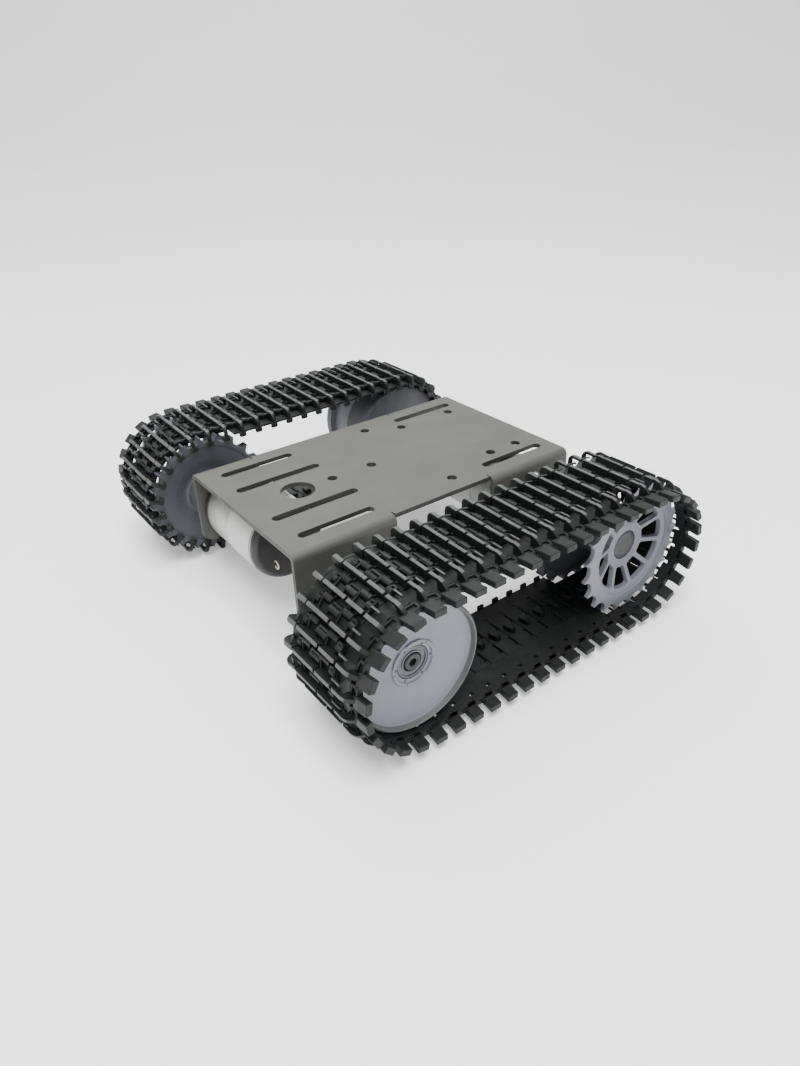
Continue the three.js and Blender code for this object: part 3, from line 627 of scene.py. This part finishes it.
def idler_half(side, name, outward):
    """outward True makes the half that faces away from the deck."""
    if outward:
        edge, seam = IDLER_HIGH[1], IDLER_LOW[1]
        flip = 1
    else:
        edge, seam = IDLER_IN_LOW[1], IDLER_IN_HIGH[1]
        flip = -1
    rim = IDLER_RIM

    def at(depth):
        return edge - flip * depth

    web = WEB_DEPTH if outward else 1.0
    shallow = WEB_SHALLOW if outward else 1.0
    sunk = at(web) - span("left_bearing_outer")[1][1] if outward else 0.0
    profile = [
        (4.3, seam), (9.0, seam), (9.0, at(web + 3)), (20.0, at(web + 3)), (20.0, seam),
        (22.5, seam), (22.5, at(6)), (rim - 0.1, at(5.2)), (rim, at(4.6)), (rim, at(1.1)),
        (rim - 0.25, at(0.5)), (rim - 0.45, at(0.7)), (rim - 0.6, at(0.7)),
        (rim - 0.75, at(0.1)), (rim - 1.05, at(0.0)), (rim - 1.25, at(0.2)),
        (23.3, at(shallow - 0.4)), (22.9, at(shallow)), (9.0, at(web)),
        (8.8, at(web - 0.45)), (7.9, at(web - 0.45)), (7.7, at(web)), (7.0, at(web)),
        (6.5, at(web + 0.1)), (6.5, at(web + sunk + 5)), (4.3, at(web + sunk + 5)),
    ]
    if not outward:
        profile = [p for p in profile if not 6.95 <= p[0] <= 8.85 or p[1] == seam]
    points, faces, slots = lathe(rounded(profile, 0.3), segments=128)
    if outward:
        # faces beyond the lip's start take the darker wall plastic, a painted shade
        slots = [1 if min(math.hypot(points[i][0], points[i][2]) for i in f) > IDLER_LIP else 0
                 for f in faces]
    parts = [(points, faces, slots)]
    if outward:
        for i in range(6):
            start = 60 * i + 9
            outline = arc(0, 0, 8.95, start, start + 42, 8) + arc(0, 0, 7.75, start + 42, start, 8)
            parts.append(prism(outline, at(web), at(web - 0.75), "xzy", 0.15))
    # the half nearest the deck takes the darker plastic, and the cup's lip and rim wall the wall
    # plastic: both painted shade
    finishes = [WHEEL if outward else SHADED, WALL_SHADE]
    return evened(make(name, moved(merge(parts), AXLE, 0, HEIGHT), finishes, side, 30))


def idler_screws(side, name):
    face = IDLER_HIGH[1] - WEB_DEPTH
    parts = []
    for i in range(6):
        a = math.radians(60 * i)
        screw = lathe([(0, face - 0.6), (0.6, face - 0.6), (0.6, face + 0.03), (0.5, face + 0.1),
                       (0.3, face + 0.1), (0.26, face - 0.1), (0, face - 0.1)], segments=20,
                      closed=False)
        across, up = IDLER_SCREW_RING * math.cos(a), IDLER_SCREW_RING * math.sin(a)
        parts.append(moved(screw, AXLE + across, 0, HEIGHT + up))
    return make(name, merge(parts), [DARK], side)


def bearing(side, name, node, outward):
    low, high = span(node)
    a, b = (high[1], low[1]) if outward else (low[1], high[1])
    f = 1 if outward else -1
    # the outer race stands forward of the inner one, almost flush with the web
    lip = a + (f * RACE_STEP if outward else 0)
    profile = [(2.1, b), (6.38, b), (6.38, lip - f * 0.25), (6.15, lip), (5.6, lip),
               (5.5, lip - f * 0.35), (4.4, lip - f * 0.35), (4.3, lip - f * 0.05),
               (3.75, lip - f * 0.05), (3.65, a - f * 0.1), (2.25, a - f * 0.1),
               (2.1, a - f * 0.25)]
    return make(name, lathe(profile, AXLE, HEIGHT, 64), [RACE], side)


def axle_bolt(side, name):
    low, high = span("left_axle_bolt")
    y0, y1 = low[1], high[1]
    seat = y1 - 2.2
    shank = lathe([(0, y0), (1.6, y0), (1.95, y0 + 0.4), (1.95, seat + 0.1), (0, seat + 0.1)],
                  segments=40, closed=False)
    head_side = lathe(rounded([(1.9, seat), (3.38, seat), (3.38, y1 - 0.35), (3.05, y1),
                               (1.95, y1), (1.9, y1 - 0.1)], 0.12), segments=48)
    hexagon = ring_of(1.62, 6)
    socket = plate_from([ring_of(1.98, 36), hexagon], 1.2, 0.08)
    floor = lathe([(0, seat + 0.3), (1.95, seat + 0.3), (1.95, seat + 0.8), (0, seat + 0.8)],
                  segments=36, closed=False)
    parts = [shank, head_side, standing(socket, y1 - 1.28), floor]
    return make(name, moved(merge(parts), AXLE, 0, HEIGHT), [DARK], side)


def lock_nut(side, name):
    low, high = span("left_lock_nut")
    y0, y1 = low[1], high[1]
    hexagon = ring_of(7.0 / math.sqrt(3) - 0.02, 6)
    body = plate_from([hexagon, ring_of(2.05, 32)], y1 - y0 - 0.9, 0.25)
    collar = lathe(rounded([(2.05, y0), (3.0, y0), (3.25, y0 + 0.4), (3.3, y0 + 1.1),
                            (2.05, y0 + 1.1)], 0.2), segments=40)
    x, _, z = middle("left_lock_nut")
    parts = [standing(body, y0 + 0.9), collar]
    return make(name, moved(merge(parts), x, 0, z), [STEEL], side)


# ------------------------------------------------------------------ motor
def motor(side, word):
    """Gearbox cover and case, can, label, end bell and the two solder tags."""
    x, z = MOTOR_X, MOTOR_Z
    can_low, can_high = CAN_LOW[1], CAN_HIGH[1]
    face_low, face_high = (s[1] for s in span("left_gearbox_face"))
    shell_low, shell_high = (s[1] for s in span("left_gearbox_shell"))
    cap_low, cap_high = (s[1] for s in span("left_motor_end_cap"))
    r = (CAN_HIGH[0] - CAN_LOW[0]) / 2
    bush_low, bush_high = span("left_output_bush")
    bush_x, _, bush_z = middle("left_output_bush")
    seat = ring_of((bush_high[0] - bush_low[0]) / 2 + 0.05, 48, bush_x - x, bush_z - z)
    cover = plate_from([ring_of(r - 0.05, 96), seat], face_high - face_low, 0.4)
    front = moved(standing(cover, face_low), x, 0, z)
    fit_out(make(f"{word}_gearbox_cover", front, [DARK], side), "chassis", "dark_steel",
            f"{word}_gearbox_face")
    shell = lathe(rounded([(r - 1.2, shell_low), (r - 0.1, shell_low),
                           (r - 0.1, shell_low + 0.5), (r, shell_low + 0.7),
                           (r, shell_high - 1.0), (r - 0.15, shell_high - 0.8),
                           (r - 0.15, shell_high), (r - 1.2, shell_high)], 0.15), x, z, 96)
    fit_out(make(f"{word}_gearbox_case", shell, [CAN], side), "chassis", "can_steel",
            f"{word}_gearbox_shell")
    can = lathe(rounded([(r - 1.2, can_low), (r - 0.2, can_low), (r, can_low + 0.6),
                         (r, can_high - 1.1), (r - 0.35, can_high - 0.7), (r - 0.35, can_high),
                         (ROTOR_HOLE, can_high), (ROTOR_HOLE, can_high - 1.2),
                         (r - 1.2, can_high - 1.2)], 0.2),
                x, z, 96)
    fit_out(make(f"{word}_can_shell", can, [CAN], side), "chassis", "can_steel",
            f"{word}_motor_can")
    label_low, label_high = (s[1] for s in span("left_motor_label"))
    # the label wraps most of the way round, from 120 to 420 degrees
    band = arc(0, 0, r + 0.24, 120, 420, 90) + arc(0, 0, r + 0.03, 420, 120, 90)
    strip = prism(band, label_low, label_high, "xzy")
    fit_out(make(f"{word}_blank_label", moved(strip, x, 0, z), [LABEL], side), "chassis",
            "label_paper", f"{word}_motor_label")
    cap = lathe([(ROTOR_HOLE, cap_low), (r - 2.6, cap_low), (r - 1.6, cap_low + 0.25),
                 (r - 0.75, cap_low + 0.9), (r - 0.2, cap_low + 1.7),
                 (r - 0.02, cap_low + 2.4), (r - 0.02, cap_low + 2.9),
                 (r - 1.3, cap_low + 2.9), (r - 1.4, cap_high), (ROTOR_HOLE, cap_high)])
    collar = lathe(rounded([(2.2, cap_low), (3.6, cap_low), (3.6, cap_low + 0.5),
                            (2.2, cap_low + 0.5)], 0.15), segments=40)
    fit_out(make(f"{word}_end_bell", moved(merge([cap, collar]), x, 0, z), [BLACK], side),
            "chassis", "black_plastic", f"{word}_motor_end_cap")
    for letter in ("a", "b"):
        low, high = span(f"left_terminal_{letter}")
        mz = (low[2] + high[2]) / 2
        length = high[1] - low[1]
        loop, eyelet = 2.1, 1.25
        outline = arc(loop, 0, loop, 330, 30, 16) + [(length, loop / 2), (length, -loop / 2)]
        eye = ring_of(eyelet, 20, loop, 0)
        blade = plate_from([outline, eye], high[0] - low[0], 0.08)
        points = [(low[0] + w, low[1] + u, mz + v) for u, v, w in blade[0]]
        piece = make(f"{word}_tag_{letter}", (points, blade[1], blade[2]), [TAG], side)
        fit_out(piece, "chassis", "brass", f"{word}_terminal_{letter}")


# ------------------------------------------------------------------ track
def loop_point(place, radius=PITCH_RADIUS):
    """A point on the left loop: (x, z), counted in links from the top of the arc at -X."""
    s = (place % LINKS) * PITCH
    run, half = 2 * AXLE, math.pi * PITCH_RADIUS
    if s < half:
        a = math.pi / 2 + s / PITCH_RADIUS
        return Vector((-AXLE + radius * math.cos(a), HEIGHT + radius * math.sin(a)))
    s -= half
    if s < run:
        return Vector((-AXLE + s, HEIGHT - radius))
    s -= run
    if s < half:
        a = -math.pi / 2 + s / PITCH_RADIUS
        return Vector((AXLE + radius * math.cos(a), HEIGHT + radius * math.sin(a)))
    return Vector((AXLE - (s - half), HEIGHT + radius))


def slab(s0, s1, y0, y1, r0, r1, bevel=0.18, slant=0.0):
    """A block of a link; slant shifts its far-Y edge along s."""
    outline = [(s0, y0), (s1, y0), (s1 + slant, y1), (s0 + slant, y1)]
    return prism(outline, r0, r1, "xyz", bevel)


def bracket(reach, y0, y1, flare, floor, top):
    """A recessed panel beside the fin, edged by a raised rib on three sides."""
    sign = 1 if reach > 0 else -1
    near, far = sign * 0.6, reach
    tip0, tip1 = y0 + flare, y1 - flare * 0.6
    w = 0.8
    panel = prism([(near, y0 + 0.2), (far, tip0), (far, tip1), (near, y1 - 0.2)], floor - 1.6,
                  floor, "xyz", 0.12)
    rib0 = prism([(near, y0), (far, tip0), (far, tip0 + w), (near, y0 + w)], floor - 0.6, top,
                 "xyz", 0.16)
    rib1 = prism([(near, y1 - w), (far, tip1 - w), (far, tip1), (near, y1)], floor - 0.6, top,
                 "xyz", 0.16)
    end = prism([(far - sign * 1.0, tip0), (far, tip0), (far, tip1), (far - sign * 1.0, tip1)],
                floor - 0.6, top, "xyz", 0.16)
    return [panel, rib0, rib1, end]


def link(meshed):
    """One link: s along the track as x, y across, r outwards from the axle as z.
    meshed True leaves the channels open where the sprocket's teeth turn."""
    r_top = HEIGHT - 0.04
    inner, outer = TRACK_LOW[1] + 0.1, TRACK_HIGH[1] - 0.05
    clear = CHANNEL
    parts = []
    half = 0.72
    # the fin: a rounded inner knob, then three lengths with small notches between them
    bulb = arc(inner + 3.0, r_top - 3.0, 3.0, 90, 180, 8)
    knob = [(inner + 6.6, clear), (inner + 6.6, r_top - 0.3)] + bulb
    knob += [(inner, 25.9), (inner + 0.7, 25.4), (inner + 1.5, 25.6), (inner + 1.5, clear)]
    if not meshed:
        knob = [(inner + 6.6, 26.0), (inner + 6.6, r_top - 0.3)] + bulb
        knob += [(inner, 25.9), (inner + 0.7, 25.4)]
    parts.append(slab(-1.7, 1.7, inner, inner + 1.5, 23.8, 26.4, 0.5))
    parts.append(prism(knob, -0.85, 0.85, "yzx", 0.3, segments=2))
    for y0, y1, shift in ((66.4, 79.4, 0.1), (80.3, 89.3, 0.0), (90.3, 94.7, -0.1)):
        low = clear if y1 > 89.5 else 26.8
        fin = [(y0, low), (y1, low), (y1, r_top - 0.1), (y1 - 0.5, r_top), (y0 + 0.5, r_top),
               (y0, r_top - 0.5)]
        parts.append(prism(fin, shift - half, shift + half, "yzx", 0.2))
    # a low floor closes the two channels where no tooth comes
    if not meshed:
        for y0, y1 in ((60.0, 66.6), (88.7, 95.2)):
            parts.append(slab(-4.2, 4.2, y0, y1, 25.6, 26.6, 0.1))
    # outer end: rolls over in a wide curve, then a separate slanted plate
    roll = [(94.3, clear), (94.4, r_top)] + arc(95.0, r_top - 5.4, 5.4, 84, 0, 9)
    roll += [(100.4, 26.4), (95.2, 26.4), (95.2, clear)]
    parts.append(prism(roll, -half, half, "yzx", 0.2))
    for lean in (-1, 1):
        arm = [(lean * 0.3, 98.4), (lean * 0.3, 100.4), (lean * 2.5, 102.0), (lean * 2.5, 100.9)]
        parts.append(prism(arm, 26.4, 28.0, "xyz", 0.15))
    parts.append(slab(-3.0, 3.0, 95.0, 101.0, 25.6, 26.6, 0.25))
    parts.append(slab(-2.8, 2.0, 99.0, outer, 25.6, 28.2, 0.22, slant=0.9))
    # hinge lugs, interleaved with those of the next link
    parts += bracket(5.7, 66.1, 70.0, 0.7, 27.5, 28.5)
    parts += bracket(5.7, 74.0, 81.0, 0.8, 27.5, 28.5)
    parts += bracket(5.7, 85.4, 89.1, 0.6, 27.5, 28.5)
    parts += bracket(5.5, 96.4, 100.6, 0.6, 26.9, 27.8)
    parts += bracket(-4.2, 69.8, 74.0, 0.2, 27.2, 28.2)
    parts += bracket(-4.0, 81.2, 85.6, 0.2, 27.2, 28.2)
    rib = [(0.6, 63.6), (5.2, 64.8), (5.2, 66.0), (4.2, 66.0), (4.2, 65.6), (0.6, 64.6)]
    parts.append(prism(rib, clear, clear + 0.45, "xyz", 0.12))
    free = [(89.3, clear), (94.7, clear), (94.7, r_top - 1.1), (94.2, r_top - 0.7),
            (89.8, r_top - 0.7), (89.3, r_top - 1.1)]
    parts.append(prism(free, 2.8, 3.75, "yzx", 0.18))
    # inside: a broad slab, knuckles and a low guide tooth
    parts.append(slab(-3.45, 3.45, 66.4, 88.9, 25.5, 27.2, 0.3))
    parts.append(slab(-3.3, 3.3, 95.0, 99.0, 25.5, 26.4, 0.2))
    for y0, y1 in ((66.5, 68.9), (74.4, 80.2), (86.0, 88.9)):
        barrel = arc(3.0, 27.5, 1.5, 0, 330, 11)
        parts.append(prism(barrel, y0, y1, "xzy", 0.0))
    for y0, y1 in ((69.3, 74.0), (80.6, 85.6)):
        barrel = arc(-3.0, 27.5, 1.5, 0, 330, 11)
        parts.append(prism(barrel, y0, y1, "xzy", 0.0))
    guide = [(-1.9, 75.2), (1.9, 75.2), (1.3, 79.8), (-1.3, 79.8)]
    parts.append(prism(guide, 23.6, 25.7, "xyz", 0.5, segments=2))
    points, faces, slots = merge(parts)
    # tops of the fins are coloured lighter: a painted highlight
    highlight_slots = []
    for face, slot in zip(faces, slots):
        high = min(points[i][2] for i in face)
        highlight_slots.append(1 if high > r_top - 0.75 else slot)
    return points, faces, highlight_slots


def in_mesh(place):
    """Whether a link lies where the sprocket's teeth reach into the channels."""
    spot = loop_point(place)
    return spot.x < -AXLE + 1.6 * PITCH


def track(side, word, near, plain):
    """The loop of links: near ones round the sprocket, plain ones everywhere else."""
    parts = []
    first = (PHASE + math.pi / TEETH - math.pi / 2) / (2 * math.pi / TEETH)
    for i in range(LINKS):
        points, faces, slots = near if in_mesh(first + i) else plain
        a, b = loop_point(first + i - 0.5), loop_point(first + i + 0.5)
        along = (b - a).normalized()
        centre = (a + b) / 2
        out = Vector((along.y, -along.x))
        spot = []
        for s, y, r in points:
            p = centre + along * s + out * (r - PITCH_RADIUS)
            spot.append((p.x, y, p.y))
        parts.append((spot, faces, slots))
    piece = make(f"{word}_links", merge(parts), [TRACK, FIN_TOP_HIGHLIGHT], side, 30)
    fit_out(piece, "chassis", "track_plastic", f"{word}_track")


# ------------------------------------------------------------------ assembly
deck()
near_link, plain_link = link(True), link(False)
for word, side in SIDES.items():
    drive, idler = f"{word}_drive", f"{word}_idler"
    fit_out(outer_wheel(side, f"{word}_spoked_wheel"), drive, "wheel_plastic",
            f"{word}_sprocket_outer")
    fit_out(inner_wheel(side, f"{word}_bossed_wheel"), drive, "wheel_plastic",
            f"{word}_sprocket_inner")
    fit_out(hub_cap(side, f"{word}_cap_disc"), drive, "cap_plastic", f"{word}_hub_cap")
    fit_out(idler_half(side, f"{word}_idler_cup", True), idler, "wheel_plastic",
            f"{word}_idler_outer")
    fit_out(idler_half(side, f"{word}_idler_back", False), idler, "wheel_plastic",
            f"{word}_idler_inner")
    fit_out(idler_screws(side, f"{word}_idler_screws"), idler, "dark_steel")
    fit_out(bearing(side, f"{word}_race_outer", "left_bearing_outer", True), idler,
            "screw_steel", f"{word}_bearing_outer")
    fit_out(bearing(side, f"{word}_race_inner", "left_bearing_inner", False), idler,
            "screw_steel", f"{word}_bearing_inner")
    fit_out(axle_bolt(side, f"{word}_socket_bolt"), "chassis", "dark_steel",
            f"{word}_axle_bolt")
    fit_out(lock_nut(side, f"{word}_nyloc"), "chassis", "screw_steel", f"{word}_lock_nut")
    motor(side, word)
    track(side, word, near_link, plain_link)

for name, node in frame["nodes"].items():
    row = next(s for s in frame["record"]["subparts"] if s["node"] == name)
    node.data.materials.clear()
    node.data.materials.append(FINISH[row["material_slot"]])
    if not node.hide_render:
        node.data.shade_smooth()
        node.data.set_sharp_from_angle(angle=math.radians(35))


# ------------------------------------------------------------------ floor, light and camera
# the camera: where it stands above the deck in mm, which way it looks, and its lens
STAND = (-174.87, -251.99, 147.28)
HEADING, PITCH_DOWN, ROLL = math.radians(53.984), math.radians(31.011), math.radians(-1.807)
LENS = 26.24
# a pale sweep: flat under the chassis, curving up far behind it
sweep = [(-3.0, 0.0), (2.0, 0.0)]
sweep += [(2.0 + 1.5 * math.sin(math.radians(6 * i)), 1.5 - 1.5 * math.cos(math.radians(6 * i)))
          for i in range(1, 16)] + [(3.5, 4.0)]
floor_points = []
for forward, height in sweep:
    for sideways in (-5.0, 5.0):
        floor_points.append((forward * math.cos(HEADING) - sideways * math.sin(HEADING),
                             forward * math.sin(HEADING) + sideways * math.cos(HEADING), height))
floor_faces = [(2 * i + 1, 2 * i, 2 * i + 2, 2 * i + 3) for i in range(len(sweep) - 1)]
floor_mesh = bpy.data.meshes.new("floor")
floor_mesh.from_pydata(floor_points, [], floor_faces)
floor_mesh.shade_smooth()
floor = bpy.data.objects.new("floor", floor_mesh)
bpy.context.scene.collection.objects.link(floor)
floor.location.z = -0.0002
pale, pale_shader = new_material("pale_floor")
pale_cloud = noise(pale, 3, 2)
pale_tint = ramp(pale, pale_cloud.outputs[0],
                 [(0.3, (0.88, 0.88, 0.88)), (0.7, (0.91, 0.91, 0.91))])
pale.node_tree.links.new(pale_tint.outputs[0], pale_shader.inputs["Base Color"])
pale_shader.inputs["Roughness"].default_value = 0.9
pale_shader.inputs["Emission Color"].default_value = (1, 1, 1, 1)
pale_shader.inputs["Emission Strength"].default_value = 0.3
floor_mesh.materials.append(pale)

world = bpy.data.worlds.new("studio")
bpy.context.scene.world = world
world.use_nodes = True
background = world.node_tree.nodes["Background"]
background.inputs["Color"].default_value = (1.0, 1.0, 1.0, 1)
background.inputs["Strength"].default_value = 0.8


def lamp(name, place, target, size, power):
    data = bpy.data.lights.new(name, "AREA")
    data.size, data.energy = size, power
    data.shape = "DISK"
    o = bpy.data.objects.new(name, data)
    bpy.context.scene.collection.objects.link(o)
    o.location = place
    o.rotation_mode = "QUATERNION"
    o.rotation_quaternion = (Vector(target) - Vector(place)).to_track_quat("-Z", "Y")


lamp("key", (-0.2, -0.3, 1.1), (0, 0, 0.02), 0.8, 24)
lamp("wash", (0.6, 1.6, 2.2), (0.4, 0.6, 0), 2.2, 42)

camera_data = bpy.data.cameras.new("camera")
camera = bpy.data.objects.new("camera", camera_data)
bpy.context.scene.collection.objects.link(camera)
bpy.context.scene.camera = camera
camera_data.lens = LENS
camera_data.clip_start = 0.01
camera_data.clip_end = 30
spot = Vector((STAND[0], STAND[1], STAND[2] + TOP)) * MM
ahead = Vector((math.cos(PITCH_DOWN) * math.cos(HEADING),
                math.cos(PITCH_DOWN) * math.sin(HEADING), -math.sin(PITCH_DOWN)))
right = ahead.cross(Vector((0, 0, 1))).normalized()
up = right.cross(ahead)
across = right * math.cos(ROLL) + up * math.sin(ROLL)
above = up * math.cos(ROLL) - right * math.sin(ROLL)
turn = Matrix((across, above, -ahead)).transposed().to_4x4()
camera.matrix_world = Matrix.Translation(spot) @ turn
